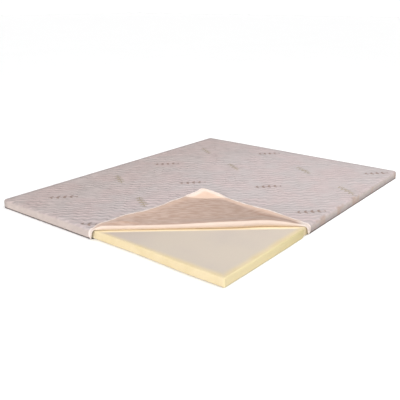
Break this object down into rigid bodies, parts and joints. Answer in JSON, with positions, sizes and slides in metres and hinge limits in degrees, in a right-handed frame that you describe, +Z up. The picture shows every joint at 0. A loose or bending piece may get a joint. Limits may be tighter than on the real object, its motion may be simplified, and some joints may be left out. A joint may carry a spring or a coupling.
{
  "type": "mattress topper",
  "caption": "Foam mattress topper in a knitted cover, one corner of the cover opened and folded back over the top to show the foam core.",
  "frame": {"origin": "middle of the underside, on the surface the topper lies on", "axes": "+X along the short side, towards the side whose near corner is open; +Y along the long side, away from the open corner; +Z up"},
  "size_m": [1.6056, 2.0056, 0.1035],
  "materials": {
    "foam": "matte open-cell foam, pale cream",
    "cover_knit": "matte jacquard knit, pink-grey outside and tan inside",
    "base_cloth": "matte woven cloth, dark brown-grey",
    "edge_tape": "matte woven tape, off-white"
  },
  "bodies": {
    "root": {"foam_core": "foam", "cover_upper": "cover_knit", "base_panel": "base_cloth", "edge_tape": "edge_tape"}
  },
  "joints": []
}
